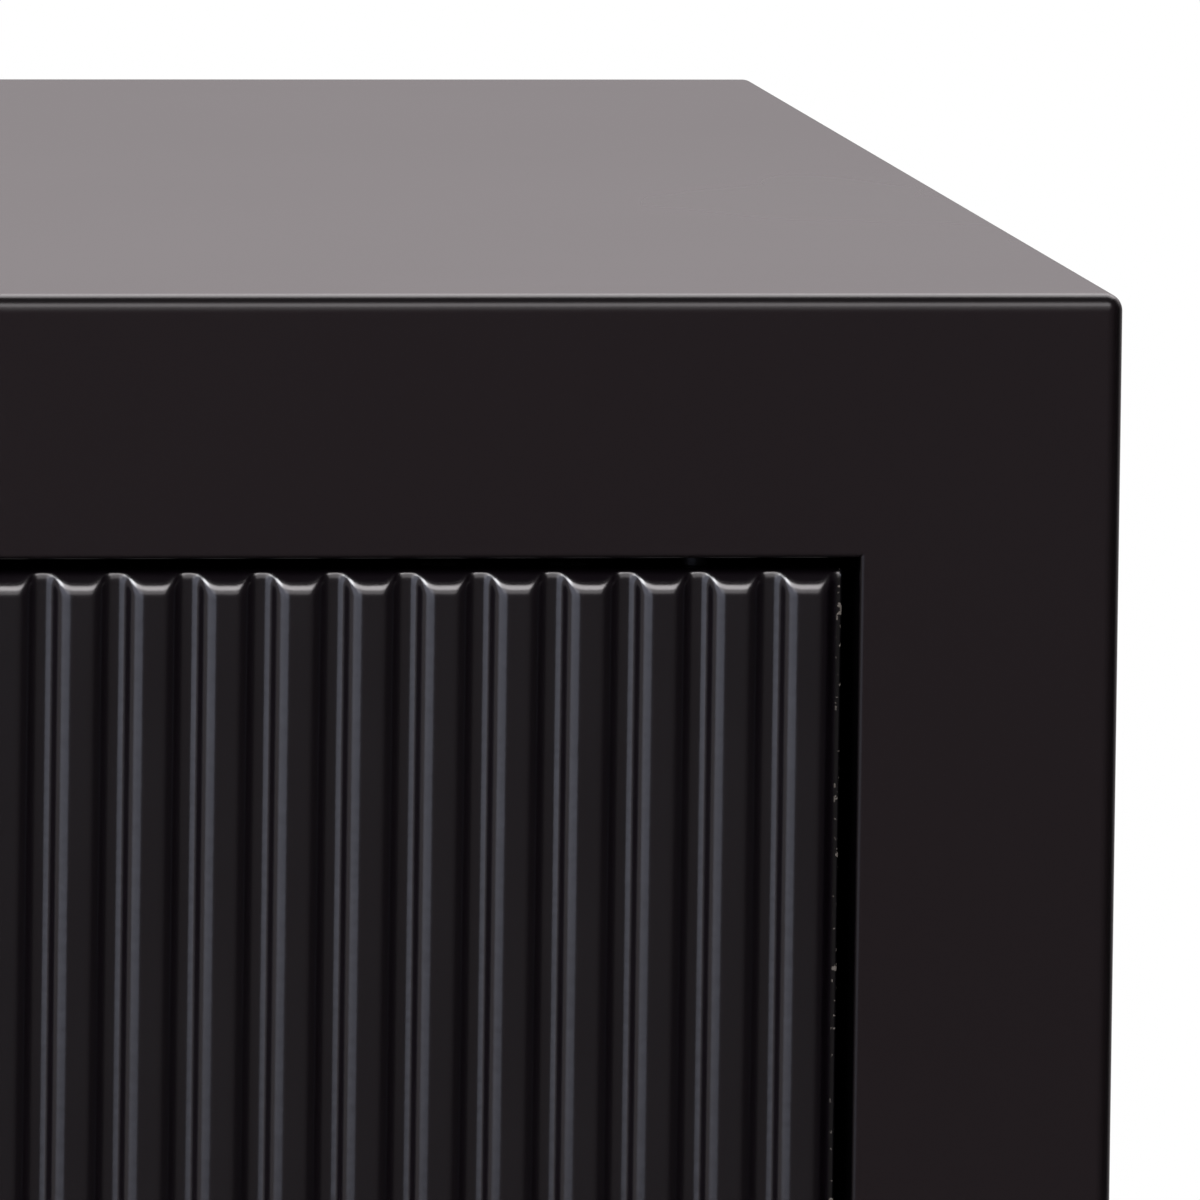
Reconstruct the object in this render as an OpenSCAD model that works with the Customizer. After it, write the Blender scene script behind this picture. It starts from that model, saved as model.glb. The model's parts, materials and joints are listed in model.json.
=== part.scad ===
// Sideboard buffet: a mitred case with four fluted inset doors on pivot hinges.
// Origin on the floor, at the middle of the case. The front faces -Y. Millimetres.

/* [Case] */
// Width of the case
case_w = 1600; // [1520:10:1900]
// Depth of the case
case_d = 420; // [380:10:500]
// Height of the whole sideboard
case_h = 780; // [720:10:900]
// Thickness of the top, bottom and side panels
panel_t = 45; // [40:1:55]
// Radius of the rounded arrises round the case
arris_r = 3; // [1:0.5:4]
// Thickness of the centre divider and the shelves
board_t = 18; // [16:1:22]

/* [Plinth] */
// Height of the recessed plinth with its feet
plinth_h = 70; // [60:5:100]
// How far the plinth stands in from the case's front and ends
plinth_inset = 55; // [45:5:80]
// Height of a levelling foot's pad
foot_h = 8; // [6:1:12]

/* [Doors] */
// Flutes across one door
flute_count = 30; // [24:1:31]
// Depth of the flutes
flute_depth = 2.5; // [1.6:0.1:2.8]
// Width of the land between two flutes, corner to corner
land_w = 5.4; // [4:0.2:6]
// Slope of the flutes' walls, in degrees from the lands
wall_slope = 40; // [38:1:50]
// How far the lands are eased back at a door's ends
end_ease = 3; // [1.6:0.1:3.2]
// Thickness of a door over its lands
door_t = 22; // [21:1:26]
// Gap at a door's sides
door_gap = 2.5; // [2.2:0.1:3.5]
// Gap above and below a door
door_gap_z = 2.1; // [2:0.1:4]
// How far the lands lie behind the case's front
door_set = 0.5; // [0:0.1:2]

/* [Pivots] */
// Distance from a door's edge to its pivot pin
pivot_in = 24; // [22:1:30]
// Distance from the lands back to the pivot pin
pivot_back = 11.5; // [11:0.1:12]
// Radius of a pivot pin
pin_r = 3; // [2.5:0.25:3.5]

/* [Latches] */
// Distance from a door's free edge to its latch
latch_in = 40; // [30:5:80]
// Travel of a latch plunger when the door is pressed
latch_travel = 2.5; // [1.5:0.5:2.5]

/* [Hidden] */
$fn = 48;
door_count = 4;
over = 1;
fit = 0.05;

front_y = -case_d / 2;
back_y = case_d / 2;
body_h = case_h - plinth_h;
open_w = case_w - 2 * panel_t;
open_h = body_h - 2 * panel_t;
floor_z = plinth_h + panel_t;
ceiling_z = case_h - panel_t;

// Loose splines across the mitres
spline_t = 6;
spline_w = 24;
spline_end = 35;
spline_at = 0.6;

// Back panels in a rebate
back_t = 6;
rebate_w = 10;
back_play = 0.5;
rebate_y = back_y - back_t;

// Centre divider, its dowels and the shelves
divider_front_y = front_y + 38;
dowel_r = 4;
dowel_l = 32;
dowel_count = 4;
dowel_y0 = divider_front_y + 40;
dowel_step = (rebate_y - 30 - dowel_y0) / (dowel_count - 1);
shelf_front_y = front_y + 45;
shelf_play = 1.5;
shelf_z = floor_z + open_h / 2 - board_t / 2;
peg_r = 2.5;
peg_depth = 8;
peg_pad = [10, 12, 5];
peg_step = 32;
peg_y = [shelf_front_y + 50, rebate_y - 50];
bay_w = (open_w - board_t) / 2;

// Plinth
rail_t = 18;
rail_h = plinth_h - foot_h;
plinth_w = case_w - 2 * plinth_inset;
plinth_front_y = front_y + plinth_inset;
plinth_back_y = back_y - plinth_inset / 2;
block_w = 40;
block_z = 20;
foot_r = 16;
stem_r = 4;
stem_top = plinth_h - 10;
block_screw_off = 13;

// Doors, counted from the left; odd ones hang on their left edge
door_w = (open_w - (door_count + 1) * door_gap) / door_count;
door_h = open_h - 2 * door_gap_z;
door_y = front_y + door_set;
door_z = floor_z + door_gap_z;
door_back_y = door_y + door_t;
pitch = door_w / flute_count;
wall_w = flute_depth / tan(wall_slope);

// Pivot hinges
plate_l = 60;
plate_w = 13;
plate_t = 3;
plate_lead = 8;
pin_reach = 12;
bush_wall = 1.5;
bush_l = 13;
pivot_y = door_y + pivot_back;
washer_wall = 3.5;
washer_play = 0.1;
hinge_screw_at = [22, 44];

// Push latches
latch_w = 12;
latch_l = 52;
latch_h = 22;
latch_drop = 12;
latch_z = ceiling_z - latch_drop;
ear_w = 36;
ear_t = 2.5;
ear_l = 16;
ear_screw = 12.5;
strike_r = 8;
strike_t = 1.2;
tip_play = 0.3;
tip_r = 5;
tip_l = 3;
rod_r = 3.5;
rod_l = 36;
bore_l = 46;
tip_y = door_back_y + strike_t + tip_play;
latch_y = tip_y + tip_l + latch_travel + 1;
rod_end_y = tip_y + tip_l + rod_l;
bore_end_y = latch_y + bore_l;

// Springs behind the plungers
wire_r = 0.4;
coil_r = 2.5;
coil_turns = 6;
coil_steps = 12;
wire_sides = 6;

// Screws: head radius, head height, shank radius
head_r = 3.4;
head_h = 2;
shank_r = 1.6;
slot_w = 0.9;
slot_l = 3.6;
slot_deep = 1.2;

lacquer = "#201b1d";
door_lacquer = "#1c1a1c";
inside_lacquer = "#262224";
steel = "#a9abad";
black_oxide = "#2b2b2c";
nylon = "#d8d4c8";
housing_grey = "#4a4b4d";
plywood = "#b99a6b";

CASE_NODES = [
    "top_panel", "bottom_panel", "left_side", "right_side", "mitre_splines",
    "centre_divider", "divider_dowels", "left_back_panel", "right_back_panel", "back_screws",
    "left_shelf", "right_shelf", "shelf_pegs",
    "plinth_front_rail", "plinth_back_rail", "plinth_left_rail", "plinth_right_rail",
    "plinth_middle_rail", "plinth_blocks", "plinth_screws", "levelling_feet",
    "upper_pivots", "lower_pivots", "pivot_screws", "thrust_washers",
    "latch_housings", "latch_screws"
];
LATCH_NODES = ["plunger", "spring"];
DOOR_NODES = ["panel", "hinge_leaves", "bushes", "strike_plate", "screws"];

function swing(i) = i % 2 == 1 ? 1 : -1;
function door_x(i) = -open_w / 2 + door_gap + (i - 1) * (door_w + door_gap);
function pivot_x(i) = door_x(i) + (swing(i) > 0 ? pivot_in : door_w - pivot_in);
function latch_x(i) = door_x(i) + (swing(i) > 0 ? door_w - latch_in : latch_in);

// A block between two corners
module block(low, high) {
    translate(low) cube(high - low);
}

// A rectangle with true round corners, centred
module round_rect(w, h, r) {
    square([w - 2 * r, h], center = true);
    square([w, h - 2 * r], center = true);
    for (sx = [-1, 1], sy = [-1, 1])
        translate([sx * (w / 2 - r), sy * (h / 2 - r)]) circle(r);
}

// The whole case as one block with every outer arris rounded
module case_block() {
    translate([0, 0, plinth_h + body_h / 2]) intersection() {
        rotate([90, 0, 0]) linear_extrude(case_d, center = true)
            round_rect(case_w, body_h, arris_r);
        rotate([90, 0, 90]) linear_extrude(case_w, center = true)
            round_rect(case_d, body_h, arris_r);
        linear_extrude(body_h, center = true) round_rect(case_w, case_d, arris_r);
    }
}

// The opening through the case with the rebate for the back panels
module case_hollow() {
    block([-open_w / 2, front_y - over, floor_z], [open_w / 2, back_y + over, ceiling_z]);
    block(
        [-open_w / 2 - rebate_w, rebate_y, floor_z - rebate_w],
        [open_w / 2 + rebate_w, back_y + over, ceiling_z + rebate_w]
    );
}

// The mitred stretch of the case that one panel fills: half the length of the panel's
// outer face, and a turn about Y from the top's place
module mitred(half_l, half_across, turn) {
    translate([0, 0, plinth_h + body_h / 2]) rotate([90, turn, 0])
        linear_extrude(case_d + 2 * over, center = true) polygon([
            [-half_l, half_across], [half_l, half_across],
            [half_l - panel_t, half_across - panel_t], [panel_t - half_l, half_across - panel_t]
        ]);
}

// Loose splines, one across each mitre
module spline_places() {
    mid_z = plinth_h + body_h / 2;
    for (sx = [-1, 1], sz = [-1, 1])
        translate([
            sx * (case_w / 2 - spline_at * panel_t), 0,
            mid_z + sz * (body_h / 2 - spline_at * panel_t)
        ])
            rotate([0, sx * sz * 45, 0])
                cube([spline_w, case_d - 2 * spline_end, spline_t], center = true);
}

// A countersunk wood screw along -Z with its head's face at the origin
module screw_body(length, play) {
    rotate_extrude() polygon([
        [0, play], [head_r + play, play], [head_r + play, 0],
        [shank_r + play, -head_h], [shank_r + play, -length - play], [0, -length - play]
    ]);
}

module screw(length) {
    difference() {
        rotate_extrude() polygon([
            [0, 0], [head_r, 0], [shank_r, -head_h], [shank_r, -length], [0, -length]
        ]);
        for (turn = [0, 90])
            rotate([0, 0, turn]) translate([0, 0, -slot_deep / 2 + over / 2])
                cube([slot_l, slot_w, slot_deep + over], center = true);
    }
}

// Screws through the back panels, into the case and the divider
back_screw_l = 20;
module back_screw_places() {
    edge = rebate_w / 2;
    for (s = [-1, 1]) {
        for (z = [floor_z + 60, floor_z + open_h / 2, ceiling_z - 60], x = [board_t / 4, open_w / 2 + edge])
            translate([s * x, back_y, z]) rotate([-90, 0, 0]) children();
        for (z = [floor_z - edge, ceiling_z + edge], k = [0:2])
            translate([s * (120 + k * (open_w / 2 - 240) / 2), back_y, z])
                rotate([-90, 0, 0]) children();
    }
}

module back_screw_holes() {
    back_screw_places() screw_body(back_screw_l, fit);
}

// Levels and places of the shelf peg holes, mirrored about each bay's sides
module peg_places(levels) {
    for (bay = [-1, 1], wall = [-1, 1], y = peg_y, k = levels)
        translate([
            bay * (board_t + bay_w) / 2 + wall * bay_w / 2, y,
            shelf_z - peg_pad[2] / 2 + k * peg_step
        ])
            rotate([0, wall * 90, 0]) children();
}

module peg_holes() {
    peg_places([-2:2]) translate([0, 0, -over]) cylinder(h = peg_depth + fit + over, r = peg_r + fit);
}

// Dowels that stand the divider between the top and bottom panels
module dowel_places() {
    for (z = [floor_z, ceiling_z], k = [0:dowel_count - 1])
        translate([0, dowel_y0 + k * dowel_step, z]) children();
}

module dowel_holes() {
    dowel_places() cylinder(h = dowel_l + 2 * fit, r = dowel_r + fit, center = true);
}

// A pivot's place, turned so that +X runs along the door
module pivot_places(z) {
    for (i = [1:door_count]) translate([pivot_x(i), pivot_y, z])
        rotate([0, 0, swing(i) > 0 ? 0 : 180]) children();
}

// A hinge plate from z = 0 upward, its pivot at the origin
module plate() {
    translate([-plate_lead, -plate_w / 2, 0]) cube([plate_l, plate_w, plate_t]);
}

// The two screws of a hinge plate that faces +Z, its face at z = 0
hinge_screw_l = 20;
module plate_screw_places() {
    for (x = hinge_screw_at) translate([x, 0, 0]) children();
}

// Everything let into the top panel's or the bottom panel's inner face for the pivots
module pivot_recesses(z, up) {
    pivot_places(z) rotate([up ? 180 : 0, 0, 0]) {
        translate([0, 0, -plate_t]) plate();
        plate_screw_places() screw_body(hinge_screw_l, fit);
    }
}

// Screws up through the plinth blocks
block_screw_l = 70;
module block_places() {
    x = plinth_w / 2 - rail_t - block_w / 2;
    y0 = plinth_front_y + rail_t + block_w / 2;
    y1 = plinth_back_y - rail_t - block_w / 2;
    for (place = [
        [-x, y0], [x, y0], [-x, y1], [x, y1],
        [(board_t + block_w) / 2, y0], [(board_t + block_w) / 2, y1]
    ])
        translate([place[0], place[1], 0]) children();
}

module block_screw_places() {
    block_places() translate([block_screw_off, block_screw_off, block_z])
        rotate([180, 0, 0]) children();
}

// Latches under the top panel
latch_screw_l = 18;
module latch_places() {
    for (i = [1:door_count]) translate([latch_x(i), latch_y, latch_z]) children();
}

module latch_screw_places() {
    latch_places() for (s = [-1, 1])
        translate([s * ear_screw, ear_l / 2, latch_drop - ear_t]) rotate([180, 0, 0]) children();
}

module case_panel(half_l, half_across, turn) {
    difference() {
        intersection() {
            case_block();
            mitred(half_l, half_across, turn);
        }
        case_hollow();
        spline_places();
        back_screw_holes();
    }
}

module top_panel() {
    color(lacquer) difference() {
        case_panel(case_w / 2, body_h / 2, 0);
        dowel_holes();
        pivot_recesses(ceiling_z, true);
        latch_screw_places() screw_body(latch_screw_l, fit);
    }
}

module bottom_panel() {
    color(lacquer) difference() {
        case_panel(case_w / 2, body_h / 2, 180);
        dowel_holes();
        pivot_recesses(floor_z, false);
        block_screw_places() screw_body(block_screw_l, fit);
    }
}

module left_side() {
    color(lacquer) difference() {
        case_panel(body_h / 2, case_w / 2, -90);
        peg_holes();
    }
}

module right_side() {
    color(lacquer) difference() {
        case_panel(body_h / 2, case_w / 2, 90);
        peg_holes();
    }
}

module mitre_splines() {
    color(plywood) spline_places();
}

module centre_divider() {
    color(inside_lacquer) difference() {
        block([-board_t / 2, divider_front_y, floor_z], [board_t / 2, rebate_y, ceiling_z]);
        dowel_holes();
        peg_holes();
        back_screw_holes();
    }
}

module divider_dowels() {
    color(plywood) dowel_places() cylinder(h = dowel_l, r = dowel_r, center = true);
}

// One back panel: from the middle of the divider into the rebate; side is -1 or 1
module back_panel(side) {
    inner_x = back_play / 2;
    outer_x = open_w / 2 + rebate_w - back_play;
    low_x = side > 0 ? inner_x : -outer_x;
    high_x = side > 0 ? outer_x : -inner_x;
    low_z = floor_z - rebate_w + back_play;
    high_z = ceiling_z + rebate_w - back_play;
    color(inside_lacquer) difference() {
        block([low_x, rebate_y, low_z], [high_x, back_y, high_z]);
        back_screw_holes();
    }
}

module left_back_panel() {
    back_panel(-1);
}

module right_back_panel() {
    back_panel(1);
}

module back_screws() {
    color(steel) back_screw_places() screw(back_screw_l);
}

// One adjustable shelf; side is -1 or 1
module shelf(side) {
    mid_x = side * (board_t + bay_w) / 2;
    half = bay_w / 2 - shelf_play;
    color(inside_lacquer) block(
        [mid_x - half, shelf_front_y, shelf_z],
        [mid_x + half, rebate_y - shelf_play, shelf_z + board_t]
    );
}

module left_shelf() {
    shelf(-1);
}

module right_shelf() {
    shelf(1);
}

module shelf_pegs() {
    color(steel) peg_places([0]) {
        cylinder(h = peg_depth, r = peg_r);
        translate([-peg_pad[2] / 2, -peg_pad[1] / 2, -peg_pad[0]])
            cube([peg_pad[2], peg_pad[1], peg_pad[0]]);
    }
}

// The plinth's long rails
module long_rail(y) {
    color(lacquer) block([-plinth_w / 2, y, foot_h], [plinth_w / 2, y + rail_t, plinth_h]);
}

module plinth_front_rail() {
    long_rail(plinth_front_y);
}

module plinth_back_rail() {
    long_rail(plinth_back_y - rail_t);
}

// A plinth rail that runs from front to back between the long ones, centred on x
module cross_rail(x) {
    color(lacquer) block(
        [x - rail_t / 2, plinth_front_y + rail_t, foot_h],
        [x + rail_t / 2, plinth_back_y - rail_t, plinth_h]
    );
}

module plinth_left_rail() {
    cross_rail((rail_t - plinth_w) / 2);
}

module plinth_right_rail() {
    cross_rail((plinth_w - rail_t) / 2);
}

module plinth_middle_rail() {
    cross_rail(0);
}

module plinth_blocks() {
    color(plywood) difference() {
        block_places() translate([-block_w / 2, -block_w / 2, block_z])
            cube([block_w, block_w, plinth_h - block_z]);
        block_places() cylinder(h = plinth_h - 6, r = stem_r + fit);
        block_screw_places() screw_body(block_screw_l, fit);
    }
}

module plinth_screws() {
    color(steel) block_screw_places() screw(block_screw_l);
}

module levelling_feet() {
    color(housing_grey) block_places() {
        cylinder(h = foot_h, r = foot_r);
        cylinder(h = stem_top, r = stem_r);
    }
}

// A case pivot: a plate let in flush, and a pin that stands out of it into the door
module pivots(z, up) {
    color(black_oxide) pivot_places(z) rotate([up ? 180 : 0, 0, 0]) {
        difference() {
            translate([0, 0, -plate_t]) plate();
            plate_screw_places() screw_body(hinge_screw_l, fit);
        }
        translate([0, 0, -plate_t]) cylinder(h = 2 * plate_t + door_gap_z + pin_reach, r = pin_r);
    }
}

module upper_pivots() {
    pivots(ceiling_z, true);
}

module lower_pivots() {
    pivots(floor_z, false);
}

module pivot_screws() {
    color(steel) {
        pivot_places(ceiling_z) rotate([180, 0, 0]) plate_screw_places() screw(hinge_screw_l);
        pivot_places(floor_z) plate_screw_places() screw(hinge_screw_l);
    }
}

// Washers that carry the doors on the lower pivots
module thrust_washers() {
    color(housing_grey) pivot_places(floor_z) difference() {
        cylinder(h = door_gap_z - washer_play, r = pin_r + washer_wall);
        translate([0, 0, -over]) cylinder(h = door_gap_z + 2 * over, r = pin_r + fit);
    }
}

module latch_housings() {
    color(housing_grey) difference() {
        latch_places() {
            translate([-latch_w / 2, 0, latch_drop - latch_h]) cube([latch_w, latch_l, latch_h]);
            translate([-ear_w / 2, 0, latch_drop - ear_t]) cube([ear_w, ear_l, ear_t]);
        }
        latch_places() translate([0, -over, 0]) rotate([-90, 0, 0])
            cylinder(h = bore_l + over, r = rod_r + fit);
        latch_screw_places() screw_body(latch_screw_l, fit);
    }
}

module latch_screws() {
    color(steel) latch_screw_places() screw(latch_screw_l);
}

module latch_plunger(i) {
    color(nylon) translate([latch_x(i), tip_y, latch_z]) rotate([-90, 0, 0]) {
        cylinder(h = tip_l, r = tip_r);
        cylinder(h = tip_l + rod_l, r = rod_r);
    }
}

// Rings of wire along a helix about +Y, closed at both ends
module latch_spring(i) {
    count = coil_turns * coil_steps;
    low = rod_end_y + wire_r + fit;
    high = bore_end_y - wire_r - fit;
    rings = [for (k = [0:count]) let (turn = 360 * k / coil_steps)
        [for (s = [0:wire_sides - 1]) let (a = 360 * s / wire_sides, r = coil_r + wire_r * cos(a)) [
            latch_x(i) + r * cos(turn),
            low + (high - low) * k / count + wire_r * sin(a),
            latch_z - r * sin(turn)
        ]]
    ];
    color(steel) polyhedron(
        points = [for (ring = rings, point = ring) point],
        faces = concat(
            [[for (s = [0:wire_sides - 1]) s]],
            [for (k = [0:count - 1], s = [0:wire_sides - 1]) let (n = (s + 1) % wire_sides) [
                k * wire_sides + s, (k + 1) * wire_sides + s,
                (k + 1) * wire_sides + n, k * wire_sides + n
            ]],
            [[for (s = [wire_sides - 1:-1:0]) count * wire_sides + s]]
        )
    );
}

// The door's plan: lands at y = 0, flutes cut back from them, its edges at flute centres
module door_plan() {
    polygon(concat(
        [[0, door_t], [0, flute_depth]],
        [for (k = [0:flute_count - 1], side = [-1, 1], foot = side < 0 ? [1, 0] : [0, 1])
            [(k + 0.5) * pitch + side * (land_w / 2 + foot * wall_w), foot * flute_depth]],
        [[door_w, flute_depth], [door_w, door_t]]
    ));
}

// The slope that eases the lands away at a door's end, at its top
module door_end_slope() {
    translate([-over, 0, 0]) rotate([90, 0, 90]) linear_extrude(door_w + 2 * over)
        polygon([
            [-over, door_h - end_ease - over], [end_ease + over, door_h + over],
            [-over, door_h + over]
        ]);
}

// Both ends of a door: children face up at its top and down at its bottom
module door_ends(i) {
    translate([pivot_x(i), pivot_y, door_z]) rotate([0, 0, swing(i) > 0 ? 0 : 180])
        rotate([180, 0, 0]) children();
    translate([pivot_x(i), pivot_y, door_z + door_h]) rotate([0, 0, swing(i) > 0 ? 0 : 180])
        children();
}

strike_screw_l = 14;
module strike_place(i) {
    translate([latch_x(i), door_back_y, latch_z]) rotate([-90, 0, 0]) children();
}

module door_panel(i) {
    color(door_lacquer) difference() {
        translate([door_x(i), door_y, door_z]) difference() {
            linear_extrude(door_h) door_plan();
            door_end_slope();
            translate([0, 0, door_h]) mirror([0, 0, 1]) door_end_slope();
        }
        door_ends(i) {
            translate([0, 0, -plate_t]) plate();
            translate([0, 0, -plate_t - bush_l - fit])
                cylinder(h = bush_l + plate_t, r = pin_r + fit + bush_wall + fit);
            plate_screw_places() screw_body(hinge_screw_l, fit);
        }
        strike_place(i) translate([0, 0, strike_t]) screw_body(strike_screw_l, fit);
    }
}

module door_hinge_leaves(i) {
    color(black_oxide) door_ends(i) difference() {
        translate([0, 0, -plate_t]) plate();
        translate([0, 0, -plate_t - over]) cylinder(h = plate_t + 2 * over, r = pin_r + fit);
        plate_screw_places() screw_body(hinge_screw_l, fit);
    }
}

module door_bushes(i) {
    color(nylon) door_ends(i) translate([0, 0, -plate_t - bush_l]) difference() {
        cylinder(h = bush_l, r = pin_r + fit + bush_wall);
        translate([0, 0, -over]) cylinder(h = bush_l + 2 * over, r = pin_r + fit);
    }
}

module door_strike_plate(i) {
    color(steel) strike_place(i) difference() {
        cylinder(h = strike_t, r = strike_r);
        translate([0, 0, strike_t]) screw_body(strike_screw_l, fit);
    }
}

module door_screws(i) {
    color(steel) {
        door_ends(i) plate_screw_places() screw(hinge_screw_l);
        strike_place(i) translate([0, 0, strike_t]) screw(strike_screw_l);
    }
}

top_panel();
bottom_panel();
left_side();
right_side();
mitre_splines();
centre_divider();
divider_dowels();
left_back_panel();
right_back_panel();
back_screws();
left_shelf();
right_shelf();
shelf_pegs();
plinth_front_rail();
plinth_back_rail();
plinth_left_rail();
plinth_right_rail();
plinth_middle_rail();
plinth_blocks();
plinth_screws();
levelling_feet();
upper_pivots();
lower_pivots();
pivot_screws();
thrust_washers();
latch_housings();
latch_screws();
for (i = [1:door_count]) {
    latch_plunger(i);
    latch_spring(i);
    door_panel(i);
    door_hinge_leaves(i);
    door_bushes(i);
    door_strike_plate(i);
    door_screws(i);
}
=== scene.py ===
"""A black lacquered sideboard: its fluted doors, mitred case and fittings, the light and camera.

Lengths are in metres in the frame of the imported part: the front faces -Y, +X is right, +Z up.
Every panel is a surface worked out as whole numpy arrays; places come from the frame's boxes.
"""

import json
import math

import bpy
import numpy as np
from mathutils import Matrix, Vector


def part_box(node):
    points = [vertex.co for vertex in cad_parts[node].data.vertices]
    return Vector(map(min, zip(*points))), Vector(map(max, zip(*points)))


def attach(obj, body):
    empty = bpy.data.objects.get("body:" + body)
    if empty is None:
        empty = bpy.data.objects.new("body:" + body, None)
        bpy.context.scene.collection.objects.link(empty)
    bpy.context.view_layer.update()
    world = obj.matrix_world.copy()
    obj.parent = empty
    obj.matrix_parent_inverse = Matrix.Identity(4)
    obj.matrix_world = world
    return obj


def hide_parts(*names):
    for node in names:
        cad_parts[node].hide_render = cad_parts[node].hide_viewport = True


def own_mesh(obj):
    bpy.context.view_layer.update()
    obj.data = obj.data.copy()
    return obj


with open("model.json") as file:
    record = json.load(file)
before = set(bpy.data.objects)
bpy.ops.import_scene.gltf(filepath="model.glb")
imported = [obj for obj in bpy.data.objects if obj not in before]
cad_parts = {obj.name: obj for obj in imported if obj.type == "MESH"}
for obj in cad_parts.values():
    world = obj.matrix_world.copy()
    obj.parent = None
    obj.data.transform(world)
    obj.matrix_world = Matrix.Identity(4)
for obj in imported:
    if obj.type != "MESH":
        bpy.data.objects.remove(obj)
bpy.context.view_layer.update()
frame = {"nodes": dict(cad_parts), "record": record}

MM = 0.001
DOORS = (1, 2, 3, 4)


# ---------------------------------------------------------------------------
# Mesh helpers


def quads_between(rows, columns):
    """Quads between neighbouring closed loops: rows loops of columns points each, as indices.

    Row r and column c make the quad (r, c), (r, c + 1), (r + 1, c + 1), (r + 1, c), and the
    last column is followed by the first.
    """
    r, c = np.meshgrid(np.arange(rows - 1), np.arange(columns), indexing="ij")
    here, above = r * columns, (r + 1) * columns
    following = (c + 1) % columns
    quads = np.stack([here + c, here + following, above + following, above + c], -1)
    return quads.reshape(-1, 4)


SMOOTH_BELOW = math.radians(35)    # faces that meet at less than this are shaded as one


def shell(name, loops, arris=None):
    """A closed piece from loops of points stacked along its length.

    Quads join each loop to the next, and one flat face closes each end. arris says how far each
    point lies on an arris, from 0 to 1, and is kept as a point attribute for the lacquer.
    """
    rows, columns = loops.shape[:2]
    last = (rows - 1) * columns
    faces = quads_between(rows, columns).tolist()
    faces.append(list(range(columns))[::-1])
    faces.append(list(range(last, last + columns)))
    mesh = bpy.data.meshes.new(name)
    mesh.from_pydata(loops.reshape(-1, 3), [], faces)
    mesh.validate()
    mesh.polygons.foreach_set("use_smooth", np.ones(len(mesh.polygons), bool))
    mesh.set_sharp_from_angle(angle=SMOOTH_BELOW)
    if arris is not None:
        mesh.attributes.new("arris", "FLOAT", "POINT").data.foreach_set("value", arris.ravel())
    piece = bpy.data.objects.new(name, mesh)
    bpy.context.scene.collection.objects.link(piece)
    return piece


def fit_in(piece, body, slot, *nodes):
    """The piece rides on body and stands for the CAD nodes, which it hides; slot is not used."""
    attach(piece, body)
    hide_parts(*nodes)


def rounded_max(flat, slope, r):
    """The larger of flat and slope, with an arc of radius r between them.

    Where slope rises at 45 degrees from a level flat, the arc touches the flat r tan(pi/8) before
    the corner. A distance u on from there it lies r - sqrt(r^2 - u^2) above it, up to
    u = r sin(pi/4).
    """
    above = slope - flat
    eighth = math.pi / 4
    u = np.clip(above + r * math.tan(eighth / 2), 0, r * math.sin(eighth))
    arc = r - np.sqrt(r * r - u * u)
    return flat + np.where(above < r * (1 - math.cos(eighth)), arc, above)


# ---------------------------------------------------------------------------
# The fluted doors

FLUTES = 30
ROOT_FLAT = 0.3 * MM
ROOT_R = 2.2 * MM
SHOULDER_R = 3.6 * MM
STEEPEST = math.radians(56)
FLUTE_DEPTH = (ROOT_R + SHOULDER_R) * (1 - math.cos(STEEPEST))
END_EASE = 3.03 * MM
END_R = 4.0 * MM
EDGE_R = 0.5 * MM
END_STEP = 0.18 * MM
STEPS_A_FLUTE = 40


def flute_depth(x, pitch):
    """Depth of the fluting at x from a groove's centre, behind the lands.

    With s the distance to the nearest groove centre, a narrow flat runs to s = ROOT_FLAT, a
    hollow arc of ROOT_R rises from it to the steepest tilt, and a rounded arc of SHOULDER_R
    carries on to the land. An arc's height at a distance d from its flat end is
    r - sqrt(r^2 - d^2).
    """
    s = np.abs((x / pitch + 0.5) % 1.0 - 0.5) * pitch
    hollow = ROOT_R * math.sin(STEEPEST)
    reach = (ROOT_R + SHOULDER_R) * math.sin(STEEPEST)
    from_root = np.clip(s - ROOT_FLAT, 0, hollow)
    from_land = np.clip(ROOT_FLAT + reach - s, 0, reach - hollow)
    root = FLUTE_DEPTH - ROOT_R + np.sqrt(ROOT_R**2 - from_root**2)
    shoulder = SHOULDER_R - np.sqrt(SHOULDER_R**2 - from_land**2)
    return np.where(s < ROOT_FLAT + hollow, root, shoulder)


def end_stations(height):
    """Heights of a door's loops: close together at its eased ends, far apart between them."""
    rim = EDGE_R * (1 - np.cos(np.linspace(0, math.pi / 2, 5)))
    slope = np.arange(EDGE_R, END_EASE + END_R / 2, END_STEP)[1:]
    end = np.concatenate([rim, slope])
    middle = np.linspace(end[-1], height - end[-1], 9)[1:-1]
    return np.concatenate([end, middle, height - end[::-1]])


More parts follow.
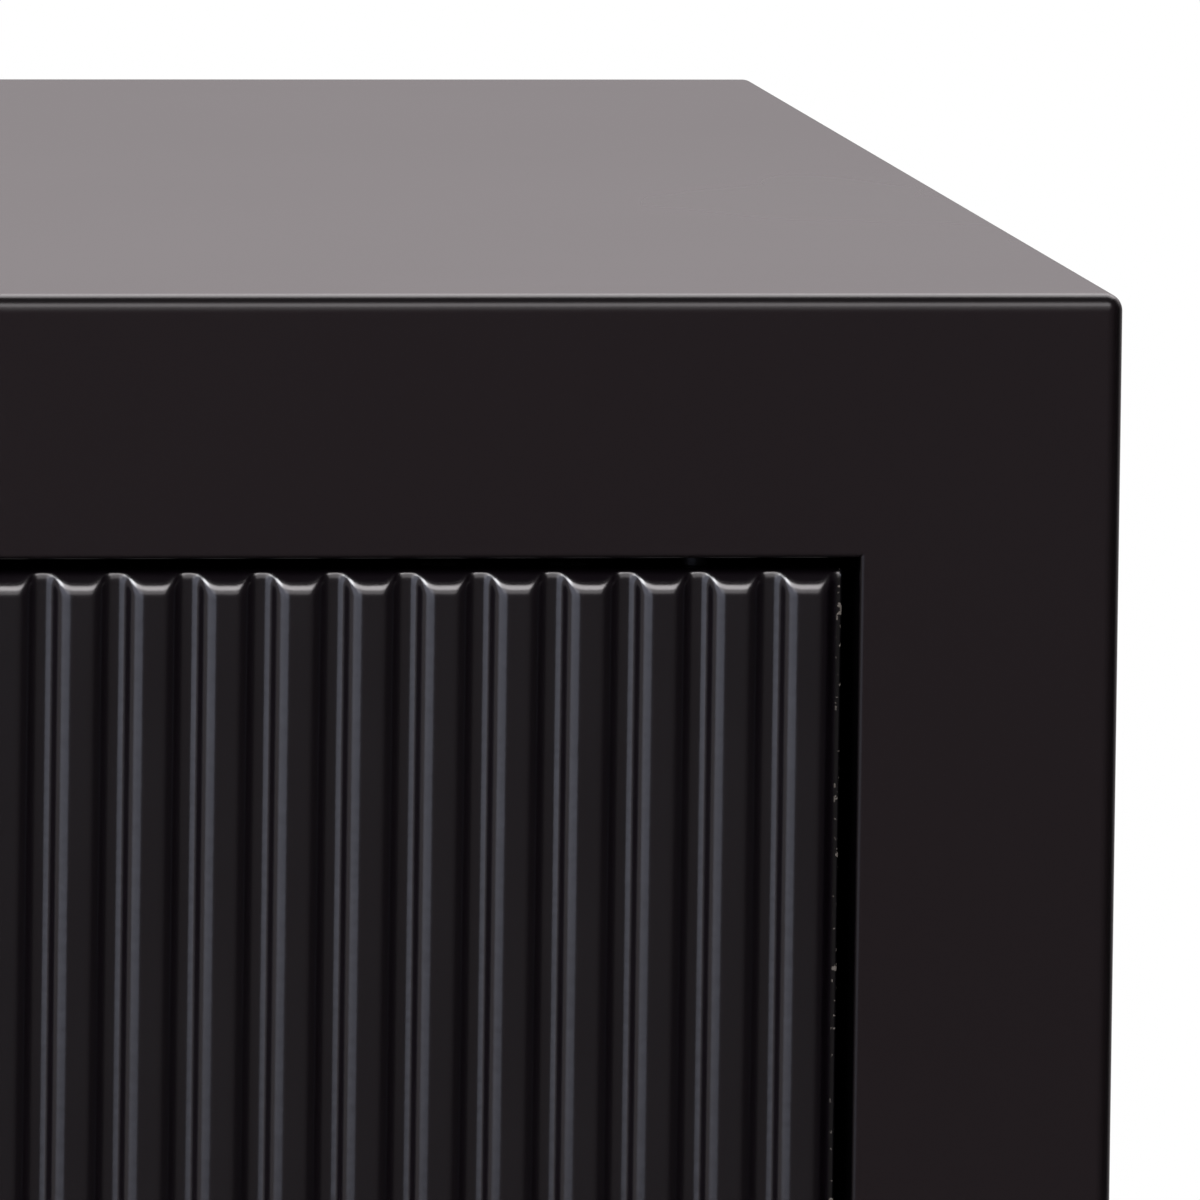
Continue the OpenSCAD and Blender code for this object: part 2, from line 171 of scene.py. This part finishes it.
def fluted_door(number):
    """A fluted door as loops in plan, stacked up its height.

    At height z the front lies at rounded max(flute depth, END_EASE - t) behind the lands, with
    t the distance to the nearer end, so each end slopes back at 45 degrees past the flutes' floor.
    Within EDGE_R of an end every loop draws in along a quarter circle.
    """
    name = f"door_{number}_panel"
    low, high = map(np.array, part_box(name))
    width, thickness, height = high - low
    pitch = width / FLUTES
    z = end_stations(height)
    t = np.minimum(z, height - z)
    inset = EDGE_R - np.sqrt(np.clip(EDGE_R**2 - np.clip(EDGE_R - t, 0, None) ** 2, 0, None))

    corner = np.linspace(0, math.pi / 2, 5)[1:-1]
    front_x = np.linspace(EDGE_R, width - EDGE_R, FLUTES * STEPS_A_FLUTE + 1)
    flutes = flute_depth(front_x, pitch)
    ease = (END_EASE - t)[:, None]
    front_y = rounded_max(np.broadcast_to(flutes, (len(t), len(front_x))), ease, END_R)

    edge_x = np.concatenate([
        width - EDGE_R + EDGE_R * np.sin(corner), [width, width],
        width - EDGE_R + EDGE_R * np.cos(corner), [width - EDGE_R, EDGE_R],
        EDGE_R - EDGE_R * np.sin(corner), [0, 0], EDGE_R - EDGE_R * np.cos(corner),
    ])
    edge_y = np.concatenate([
        FLUTE_DEPTH + EDGE_R * (1 - np.cos(corner)), [FLUTE_DEPTH + EDGE_R, thickness - EDGE_R],
        thickness - EDGE_R + EDGE_R * np.sin(corner), [thickness, thickness],
        thickness - EDGE_R + EDGE_R * np.cos(corner), [thickness - EDGE_R, FLUTE_DEPTH + EDGE_R],
        FLUTE_DEPTH + EDGE_R * (1 - np.sin(corner)),
    ])
    x = np.broadcast_to(np.concatenate([front_x, edge_x]), (len(t), len(front_x) + len(edge_x)))
    y = np.concatenate([front_y, np.broadcast_to(edge_y, (len(t), len(edge_y)))], axis=1)
    x = width / 2 + (x - width / 2) * (1 - 2 * inset[:, None] / width)
    middle_y = (FLUTE_DEPTH + thickness) / 2
    y = y + np.sign(middle_y - y) * inset[:, None]
    loops = np.stack([x + low[0], y + low[1], np.broadcast_to(z[:, None], x.shape) + low[2]], -1)

    arris = np.zeros(x.shape)
    arris[:, :2] = 1.0
    arris[:, -len(corner):] = 1.0
    arris[:, len(front_x) - 2:len(front_x) + len(corner)] = 1.0
    piece = shell(name + "_fluted", loops, arris)
    fit_in(piece, f"door_{number}", "door_lacquer", name)
    return piece


# ---------------------------------------------------------------------------
# The mitred case

ARRIS_R = 3.0 * MM
INNER_R = 0.8 * MM
CREEP = 0.25 * MM


def quarter(centre, r, start, steps=8):
    """Points of a quarter circle about centre, from start degrees anticlockwise."""
    a = np.radians(np.linspace(start, start + 90, steps + 1))
    return np.stack([centre[0] + r * np.cos(a), centre[1] + r * np.sin(a)], -1)


def panel_section(thick, depth, rebate):
    """Section of a case panel: distance in from its outer face, and depth from the front.

    It runs from the outer face round the front's two arrises, along the inner face to the
    rebate for the back panel, and back over the rear arris. Each round has a flat strip CREEP
    wide beside it, so that the flat faces stay flat in the shading.
    """
    wide, deep = rebate
    parts = [
        [[0, depth - ARRIS_R - CREEP], [0, depth * 0.5], [0, ARRIS_R + CREEP]],
        quarter((ARRIS_R, ARRIS_R), ARRIS_R, 180),
        [[ARRIS_R + CREEP, 0], [thick - INNER_R - CREEP, 0]],
        quarter((thick - INNER_R, INNER_R), INNER_R, 270, 4),
        [[thick, INNER_R + CREEP], [thick, depth - deep]],
        [[thick - wide, depth - deep], [thick - wide, depth]],
        [[ARRIS_R + CREEP, depth]],
        quarter((ARRIS_R, depth - ARRIS_R), ARRIS_R, 90),
    ]
    return np.concatenate([np.array(part, float) for part in parts])


def mitred_panel(node, slot, outer, turn):
    """One side of the mitred case: its section swept along the side between two mitres.

    A section point n in from the outer face runs straight as far as the corner's centre and
    then, where n < ARRIS_R, through 45 degrees of a circle of radius ARRIS_R - n, so that four
    such panels meet in one rounded corner. outer is the case's (half length, half height) along
    and across this side, and turn, in quarter turns about Y, brings the top's place to it.
    """
    half_long, half_across = outer
    low, high = map(np.array, case_box)
    section = panel_section(THICK, high[1] - low[1], REBATE)
    n, deep = section[:, 0], section[:, 1]
    arc = np.radians(np.linspace(0, 45, 9))
    start = half_long - THICK - ARRIS_R
    radius = np.clip(ARRIS_R - n, 0, None)
    share = np.linspace(0.2, 1, len(arc))[:, None]
    straight = start + (half_long - np.maximum(n, ARRIS_R) - start) * share
    bend = radius[None, :] > 0
    along = np.where(bend, half_long - ARRIS_R + radius * np.sin(arc)[:, None], straight)
    inward = np.where(bend, ARRIS_R - radius * np.cos(arc)[:, None], n)
    ends = np.full((1, len(n)), start)
    along = np.concatenate([-along[::-1], -ends, ends, along])
    inward = np.concatenate([inward[::-1], n[None], n[None], inward])

    across = half_across - inward
    a = turn * math.pi / 2
    centre_z = (low[2] + high[2]) / 2
    x = along * math.cos(a) + across * math.sin(a)
    z = across * math.cos(a) - along * math.sin(a) + centre_z
    y = np.broadcast_to(deep, x.shape) + low[1]
    arris = np.clip(np.maximum(1 - inward / ARRIS_R, 1 - np.abs(THICK - inward) / INNER_R), 0, 1)
    arris = arris * (np.minimum(deep, high[1] - low[1] - deep) < ARRIS_R)
    piece = shell(node + "_lacquered", np.stack([x, y, z], -1), arris)
    fit_in(piece, "case", slot, node)
    return piece


def corners(*nodes):
    """Lowest and highest corner of several CAD nodes together."""
    boxes = [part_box(node) for node in nodes]
    return np.min([b[0] for b in boxes], axis=0), np.max([b[1] for b in boxes], axis=0)


case_box = corners("top_panel", "bottom_panel", "left_side", "right_side")
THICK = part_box("top_panel")[1][2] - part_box("top_panel")[0][2]
REBATE = (10 * MM, 6 * MM)


# ---------------------------------------------------------------------------
# Plain boards with eased edges


def eased_board(node, body, slot, ease=0.8 * MM):
    """A board with every edge rounded to radius ease.

    Its loops are rounded rectangles in plan. Loop k of the lower edge lies ease (1 - sin a) up
    and draws in by ease (1 - cos a), with a falling from a right angle, and the top mirrors it.
    """
    low, high = map(np.array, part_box(node))
    width, depth, height = high - low
    rise = np.linspace(0, math.pi / 2, 5)
    drawn = ease * (1 - np.sin(rise))
    z = ease * (1 - np.cos(rise))
    strip = 2 * ease
    z = np.concatenate([z, [strip, height - strip], height - z[::-1]])
    drawn = np.concatenate([drawn, [0, 0], drawn[::-1]])
    loops = []
    for level, inset in zip(z, drawn):
        r = ease - inset
        left, right, front, rear = ease, width - ease, ease, depth - ease
        outline = np.concatenate([
            quarter((left, front), r, 180, 4),
            [[left + ease, front - r], [right - ease, front - r]],
            quarter((right, front), r, 270, 4),
            [[right + r, front + ease], [right + r, rear - ease]],
            quarter((right, rear), r, 0, 4),
            [[right - ease, rear + r], [left + ease, rear + r]],
            quarter((left, rear), r, 90, 4),
            [[left - r, rear - ease], [left - r, front + ease]],
        ])
        loops.append(np.column_stack([outline, np.full(len(outline), level)]))
    points = np.array(loops) + low
    piece = shell(node + "_board", points, np.zeros(points.shape[:2]))
    fit_in(piece, body, slot, node)
    return piece


# ---------------------------------------------------------------------------
# The latches' springs

WIRE_R = 0.4 * MM
COIL_TURNS = 6
STEPS_A_TURN = 24
STEPS_ROUND_WIRE = 12
CLOSING = 0.6            # how much closer the turns lie at the ends than at the middle


def coil_spring(number):
    """A wire coiled about the plunger's line, which shortens as the plunger is pressed.

    With s running from 0 to 1 along the wire, its centre turns COIL_TURNS times round the line
    while it moves along it by s - CLOSING sin(2 pi s) / (2 pi) of the length, so that the turns
    lie closer at both ends. Round every centre stands a ring of radius WIRE_R.
    """
    node = f"latch_{number}_spring"
    low, high = map(np.array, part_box(node))
    middle = (low + high) / 2
    coil_r = (high[0] - low[0]) / 2 - WIRE_R
    s = np.linspace(0, 1, COIL_TURNS * STEPS_A_TURN + 1)[:, None]
    turn = 2 * math.pi * COIL_TURNS * s
    ring = np.linspace(0, 2 * math.pi, STEPS_ROUND_WIRE + 1)[:-1][None, :]
    r = coil_r + WIRE_R * np.cos(ring)
    share = s - CLOSING * np.sin(2 * math.pi * s) / (2 * math.pi)
    reach = high[1] - low[1] - 2 * WIRE_R
    y = low[1] + WIRE_R + reach * share + WIRE_R * np.sin(ring)
    points = np.stack([middle[0] + r * np.cos(turn), y, middle[2] - r * np.sin(turn)], -1)
    piece = shell(node + "_coil", points)
    fit_in(piece, "case", "spring_steel", node)
    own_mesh(piece)
    return piece


# ---------------------------------------------------------------------------
# Materials


def linear(hex_colour):
    """An sRGB hex colour as linear red, green, blue and alpha."""
    parts = [int(hex_colour[i:i + 2], 16) / 255 for i in (0, 2, 4)]
    light = [c / 12.92 if c <= 0.04045 else ((c + 0.055) / 1.055) ** 2.4 for c in parts]
    return (*light, 1.0)


def add_node(tree, kind, inputs=None, **settings):
    """Adds a node; settings are its properties, and inputs its values or the sockets to link."""
    made = tree.nodes.new(kind)
    for name, value in settings.items():
        setattr(made, name, value)
    for name, value in (inputs or {}).items():
        if isinstance(value, bpy.types.NodeSocket):
            tree.links.new(value, made.inputs[name])
        else:
            made.inputs[name].default_value = value
    return made


def new_material(name):
    """An empty node material: its tree, and its place's coordinates on the object."""
    material = bpy.data.materials.new(name)
    material.use_nodes = True
    tree = material.node_tree
    tree.nodes.clear()
    place = add_node(tree, "ShaderNodeTexCoord").outputs["Object"]
    return material, tree, place


def finish_material(tree, **inputs):
    """The shader and the output: names with underscores are the shader's inputs with spaces."""
    named = {name.replace("_", " "): value for name, value in inputs.items()}
    shader = add_node(tree, "ShaderNodeBsdfPrincipled", named)
    add_node(tree, "ShaderNodeOutputMaterial", {"Surface": shader.outputs["BSDF"]})


def blotches(tree, place, width, detail):
    """A noise whose blotches are about width metres across, with detail finer octaves."""
    made = add_node(tree, "ShaderNodeTexNoise", {
        "Vector": place, "Scale": 1.0 / width, "Detail": detail,
    })
    return made.outputs["Fac"]


def streaks(tree, place, width, detail, along, share):
    """The same noise with its blotches drawn out 1 / share times along one axis."""
    stretch = [1.0, 1.0, 1.0]
    stretch[along] = share
    drawn = add_node(tree, "ShaderNodeMapping", {"Vector": place, "Scale": stretch})
    return blotches(tree, drawn.outputs["Vector"], width, detail)


PEEL_WIDTH = 2.2 * MM
DUST_WIDTH = 0.5 * MM
CHIP_WIDTH = 1.3 * MM
SAG = 0.003              # how high a patch of thicker film stands, as a share of its width
DUST = 0.12              # how high dust in the film stands, as a share of the orange peel
# Painted shade: the near black that the lacquer's colour darkens to along each arris, standing in
# for the dark line the lighting leaves there.
ARRIS_PAINTED_SHADE = "030203"


def sprayed_lacquer(name, colour, primer, rough, patch, peel_height, nicks, ior=1.5):
    """Polyurethane lacquer sprayed on MDF.

    The eye gets a near black with a faint warm cast, a gloss that is a little uneven where the
    film lies a hair higher over patches patch metres across, the very low ripple of orange peel
    a couple of millimetres across, painted shade that darkens the colour along each arris,
    and here and there along the arris a nick that shows the primer.
    """
    material, tree, place = new_material(name)
    cloud = blotches(tree, place, patch, 3.0)
    uneven = add_node(tree, "ShaderNodeMapRange", {
        "Value": cloud, "From Min": 0.3, "From Max": 0.7,
        "To Min": rough * 0.9, "To Max": rough * 1.1,
    })
    sag = add_node(tree, "ShaderNodeBump", {
        "Height": cloud, "Strength": 1.0, "Distance": patch * SAG,
    })
    peel = add_node(tree, "ShaderNodeBump", {
        "Height": blotches(tree, place, PEEL_WIDTH, 2.0), "Strength": 1.0, "Distance": peel_height,
        "Normal": sag.outputs["Normal"],
    })
    dust = add_node(tree, "ShaderNodeBump", {
        "Height": blotches(tree, place, DUST_WIDTH, 1.0), "Strength": 0.5,
        "Distance": peel_height * DUST, "Normal": peel.outputs["Normal"],
    })
    arris = add_node(tree, "ShaderNodeAttribute", attribute_name="arris").outputs["Fac"]
    chipped = add_node(tree, "ShaderNodeMapRange", {
        "Value": blotches(tree, place, CHIP_WIDTH, 3.0),
        "From Min": nicks, "From Max": nicks + 0.03,
    })
    nicked = add_node(tree, "ShaderNodeMath", {0: chipped.outputs["Result"], 1: arris},
                      operation="MULTIPLY")
    # Painted shade: the colour darkens towards a near black along each arris. The primer nicks
    # mixed in below are real wear.
    painted_arris_shade = add_node(tree, "ShaderNodeMix", {
        "Factor": arris, 6: linear(colour), 7: linear(ARRIS_PAINTED_SHADE),
    }, data_type="RGBA")
    tint = add_node(tree, "ShaderNodeMix", {
        "Factor": nicked.outputs[0], 6: painted_arris_shade.outputs[2], 7: linear(primer),
    }, data_type="RGBA")
    finish_material(
        tree, Base_Color=tint.outputs[2], Roughness=uneven.outputs["Result"], IOR=ior,
        Normal=dust.outputs["Normal"],
    )
    return material


def brushed_metal(name, colour, rough, grain_width, along):
    """Drawn or brushed metal: fine parallel lines along one axis that spread its shine across."""
    material, tree, place = new_material(name)
    grain = streaks(tree, place, grain_width, 2.0, along, 0.04)
    sheen = add_node(tree, "ShaderNodeMapRange", {
        "Value": grain, "To Min": rough * 0.7, "To Max": rough * 1.3,
    })
    bump = add_node(tree, "ShaderNodeBump", {
        "Height": grain, "Strength": 0.4, "Distance": 0.02 * MM,
    })
    finish_material(
        tree, Base_Color=linear(colour), Metallic=1.0, Roughness=sheen.outputs["Result"],
        Normal=bump.outputs["Normal"],
    )
    return material


def moulded_plastic(name, colour, rough, texture_width):
    """Injection moulded plastic with the fine spark-eroded texture of its mould."""
    material, tree, place = new_material(name)
    texture = blotches(tree, place, texture_width, 2.0)
    bump = add_node(tree, "ShaderNodeBump", {
        "Height": texture, "Strength": 0.5, "Distance": 0.03 * MM,
    })
    matt = add_node(tree, "ShaderNodeMapRange", {
        "Value": texture, "To Min": rough * 0.9, "To Max": rough * 1.1,
    })
    finish_material(
        tree, Base_Color=linear(colour), Roughness=matt.outputs["Result"], IOR=1.5,
        Normal=bump.outputs["Normal"],
    )
    return material


def bare_wood(name, pale, dark, grain_width, along):
    """Unfinished wood: long dark and pale streaks along its grain, and no gloss."""
    material, tree, place = new_material(name)
    grain = streaks(tree, place, grain_width, 5.0, along, 0.06)
    tint = add_node(tree, "ShaderNodeMix", {
        "Factor": grain, 6: linear(pale), 7: linear(dark),
    }, data_type="RGBA")
    bump = add_node(tree, "ShaderNodeBump", {
        "Height": grain, "Strength": 0.4, "Distance": 0.08 * MM,
    })
    finish_material(
        tree, Base_Color=tint.outputs[2], Roughness=0.7, IOR=1.5, Normal=bump.outputs["Normal"],
    )
    return material


# The case: satin lacquer, which softens a mirrored lamp to a broad pale haze. The doors: a
# glossier coat, which draws a thin bright line down each flute; its IOR of 2.0 is above the 1.5
# of a lacquer and was matched to that line. Inside: matt lacquer, which only shows shape.
satin_lacquer = sprayed_lacquer("satin_lacquer", "1c1618", "5a5550", 0.25, 0.14, 0.00001, 0.93)
door_lacquer = sprayed_lacquer("door_lacquer", "0b060b", "77726b", 0.21, 0.03, 0.00002, 0.62, 2.0)
# Painted light: the inside's grey is lighter than the case's near black, so that the inside shows
# in the shade within the case.
interior_lacquer = sprayed_lacquer("interior_lacquer", "332d2f", "5a5550", 0.5, 0.2, 0.00003, 0.95)
# Birch ply and beech are bare and pale, with upright grain.
birch_plywood = bare_wood("birch_plywood", "c9a878", "a98453", 0.004, 2)
beech = bare_wood("beech_dowel", "cda274", "a67a4c", 0.0015, 2)
# Zinc is a dull blue grey, nickel warmer and brighter, black oxide a near black metal with a
# satin sheen, and spring wire a mid grey with streaks along the coil's axis.
zinc = brushed_metal("zinc_plate", "a8abad", 0.34, 0.001, 2)
nickel = brushed_metal("nickel_plate", "bab6ad", 0.22, 0.0012, 0)
black_oxide = brushed_metal("black_oxide", "2a2a2c", 0.38, 0.0008, 0)
wire = brushed_metal("spring_wire", "87888a", 0.28, 0.0006, 1)
# Nylon and ABS have the soft broad shine and the fine spark texture of a mould, drawn here as
# 0.6 mm blotches, coarser than the usual 0.1 mm or so, so that it shows.
black_nylon = moulded_plastic("black_nylon", "1d1d1e", 0.5, 0.0006)
white_nylon = moulded_plastic("white_nylon", "d8d4c8", 0.42, 0.0006)
grey_abs = moulded_plastic("grey_abs", "454749", 0.45, 0.0006)

FINISHES = {
    "satin_lacquer": satin_lacquer, "door_lacquer": door_lacquer,
    "interior_lacquer": interior_lacquer, "birch_plywood": birch_plywood,
    "beech_dowel": beech, "zinc_screws": zinc, "nickel_steel": nickel,
    "black_oxide_pivots": black_oxide, "spring_steel": wire, "black_nylon": black_nylon,
    "white_nylon": white_nylon, "grey_plastic": grey_abs,
}


# ---------------------------------------------------------------------------
# The object

BOARDS = (
    "centre_divider", "left_shelf", "right_shelf", "left_back_panel", "right_back_panel",
)
half_w = (case_box[1][0] - case_box[0][0]) / 2
half_h = (case_box[1][2] - case_box[0][2]) / 2
pieces = {
    "satin_lacquer": [
        mitred_panel("top_panel", "satin_lacquer", (half_w, half_h), 0),
        mitred_panel("right_side", "satin_lacquer", (half_h, half_w), 1),
        mitred_panel("bottom_panel", "satin_lacquer", (half_w, half_h), 2),
        mitred_panel("left_side", "satin_lacquer", (half_h, half_w), 3),
    ] + [
        eased_board(f"plinth_{place}_rail", "case", "satin_lacquer")
        for place in ("front", "back", "left", "right", "middle")
    ],
    "interior_lacquer": [
        eased_board(board, "case", "interior_lacquer") for board in BOARDS
    ],
    "door_lacquer": [fluted_door(number) for number in DOORS],
    "spring_steel": [coil_spring(number) for number in DOORS],
}
for slot, made in pieces.items():
    for piece in made:
        piece.data.materials.append(FINISHES[slot])

# Fittings that lie flush in the plain panels stand PROUD of them, so that they show.
PROUD = 0.02 * MM
FLUSH_FITTINGS = ("pivots", "screws", "hinge_leaves")
for part in frame["record"]["subparts"]:
    kept = frame["nodes"].get(part["node"])
    if kept is None:
        continue
    if part["node"].endswith(FLUSH_FITTINGS):
        lift = kept.modifiers.new("proud", "DISPLACE")
        lift.strength = PROUD
        lift.mid_level = 0.0
    finish = FINISHES[part["material_slot"]]
    if kept.material_slots:
        kept.material_slots[0].material = finish
    else:
        kept.data.materials.append(finish)


# ---------------------------------------------------------------------------
# Floor, light and camera

FLOOR_R = 4.0
FLOOR_SIDES = 128


def pale_floor():
    """A round pale floor; the gloss of the lacquer does not mirror it."""
    a = np.linspace(0, 2 * math.pi, FLOOR_SIDES + 1)[:-1]
    rim = np.stack([FLOOR_R * np.cos(a), FLOOR_R * np.sin(a), np.zeros(FLOOR_SIDES)], -1)
    mesh = bpy.data.meshes.new("floor")
    mesh.from_pydata(rim, [], [list(range(FLOOR_SIDES))])
    floor = bpy.data.objects.new("floor", mesh)
    bpy.context.scene.collection.objects.link(floor)
    floor.visible_glossy = False
    material, tree, place = new_material("pale_floor")
    tint = add_node(tree, "ShaderNodeMix", {
        "Factor": blotches(tree, place, 0.5, 2.0), 6: linear("e6e5e3"), 7: linear("dddcda"),
    }, data_type="RGBA")
    finish_material(tree, Base_Color=tint.outputs[2], Roughness=0.6)
    floor.data.materials.append(material)


def studio_world():
    """A faintly pink white room behind the sideboard, dim in front and dark overhead.

    With x, y and z the parts of the unit direction to the right, the rear and upward, its glow
    is low(z) (behind(y) rise(z) + ahead(y) + aside(x)): low falls nearly to nothing overhead,
    behind grows from nothing at the sides to one at the rear, rise adds light some way up, and
    ahead and aside are a faint light from straight in front and from the far left. The camera
    itself sees plain white.
    """
    world = bpy.data.worlds.new("studio")
    bpy.context.scene.world = world
    world.use_nodes = True
    tree = world.node_tree
    tree.nodes.clear()
    ray = add_node(tree, "ShaderNodeLightPath").outputs["Is Camera Ray"]
    way = add_node(tree, "ShaderNodeTexCoord").outputs["Generated"]
    axes = add_node(tree, "ShaderNodeSeparateXYZ", {"Vector": way})

    def ramp(axis, start, end, low, high):
        made = add_node(tree, "ShaderNodeMapRange", {
            "Value": axes.outputs[axis], "From Min": start, "From Max": end,
            "To Min": low, "To Max": high,
        }, interpolation_type="SMOOTHSTEP")
        return made.outputs["Result"]

    def combine(operation, a, b):
        return add_node(tree, "ShaderNodeMath", {0: a, 1: b}, operation=operation).outputs[0]

    behind = combine("MULTIPLY", ramp("Y", 0.1, 0.8, 0.0, 1.0), ramp("Z", 0.12, 0.4, 0.43, 1.5))
    ahead = combine("ADD", ramp("Y", -0.9, -0.5, 0.088, 0.025), ramp("X", -0.95, -0.5, 0.2, 0.0))
    glow = combine("MULTIPLY", ramp("Z", 0.45, 0.8, 1.0, 0.06), combine("ADD", behind, ahead))
    seen = add_node(tree, "ShaderNodeMix", {"Factor": ray, 2: glow, 3: 1.0}, data_type="FLOAT")
    tint = add_node(tree, "ShaderNodeMix", {
        "Factor": ray, 6: linear("fff6f9"), 7: linear("ffffff"),
    }, data_type="RGBA")
    back = add_node(tree, "ShaderNodeBackground", {
        "Color": tint.outputs[2], "Strength": seen.outputs[0],
    })
    add_node(tree, "ShaderNodeOutputWorld", {"Surface": back.outputs["Background"]})


def softbox(name, azimuth, elevation, distance, size, radiance, colour, target):
    """A rectangular softbox: where it stands, seen from target, and how bright its face is.

    Azimuth 0 is straight in front and positive to the right. Its power is its radiance times pi
    times its area, because the face shines evenly all round.
    """
    a, e = math.radians(azimuth), math.radians(elevation)
    away = Vector((math.sin(a) * math.cos(e), -math.cos(a) * math.cos(e), math.sin(e)))
    lamp = bpy.data.lights.new(name, "AREA")
    lamp.shape = "RECTANGLE"
    lamp.size, lamp.size_y = size
    lamp.energy = radiance * math.pi * size[0] * size[1]
    lamp.color = linear(colour)[:3]
    box = bpy.data.objects.new(name, lamp)
    box.location = Vector(target) + away * distance
    box.rotation_euler = away.to_track_quat("Z", "Y").to_euler()
    box.visible_camera = False
    bpy.context.scene.collection.objects.link(box)


front_y = case_box[0][1]
top_z = case_box[1][2]
corner = (case_box[1][0], front_y, top_z)
softbox("key_softbox", -38, 11, 3.25, (2.8, 2.4), 0.78, "e3e9ff", corner)
softbox("front_softbox", -2, 46, 2.6, (3.0, 1.0), 3.7, "fffafc", corner)
softbox("fill_softbox", 0, 26, 2.8, (3.0, 1.1), 0.8, "fffafc", corner)
softbox("left_softbox", -54, 46, 2.6, (1.3, 1.2), 8.0, "fafaff", corner)
softbox("rear_softbox", 180, 54, 2.4, (3.6, 1.7), 3.2, "fffafc", corner)
studio_world()
pale_floor()


LENS = 967.3
CAMERA_X = -0.087
AHEAD = 5.390          # how far the camera stands in front of the case
ABOVE = 0.511          # and above its top
PAN = math.radians(8.415)
DIP = math.radians(5.90)
ROLL = math.radians(0.75)


def corner_camera():
    """A long lens near the middle of the front, aimed at the top right front corner."""
    lens = bpy.data.cameras.new("camera")
    lens.sensor_width = 36.0
    lens.lens = LENS
    lens.clip_end = 200.0
    camera = bpy.data.objects.new("camera", lens)
    place = Vector((CAMERA_X, front_y - AHEAD, top_z + ABOVE))
    aim = Matrix.Rotation(-PAN, 4, "Z") @ Matrix.Rotation(math.pi / 2 - DIP, 4, "X")
    camera.matrix_world = Matrix.Translation(place) @ aim @ Matrix.Rotation(ROLL, 4, "Z")
    bpy.context.scene.collection.objects.link(camera)
    bpy.context.scene.camera = camera


corner_camera()
bpy.context.scene.view_settings.view_transform = "Standard"
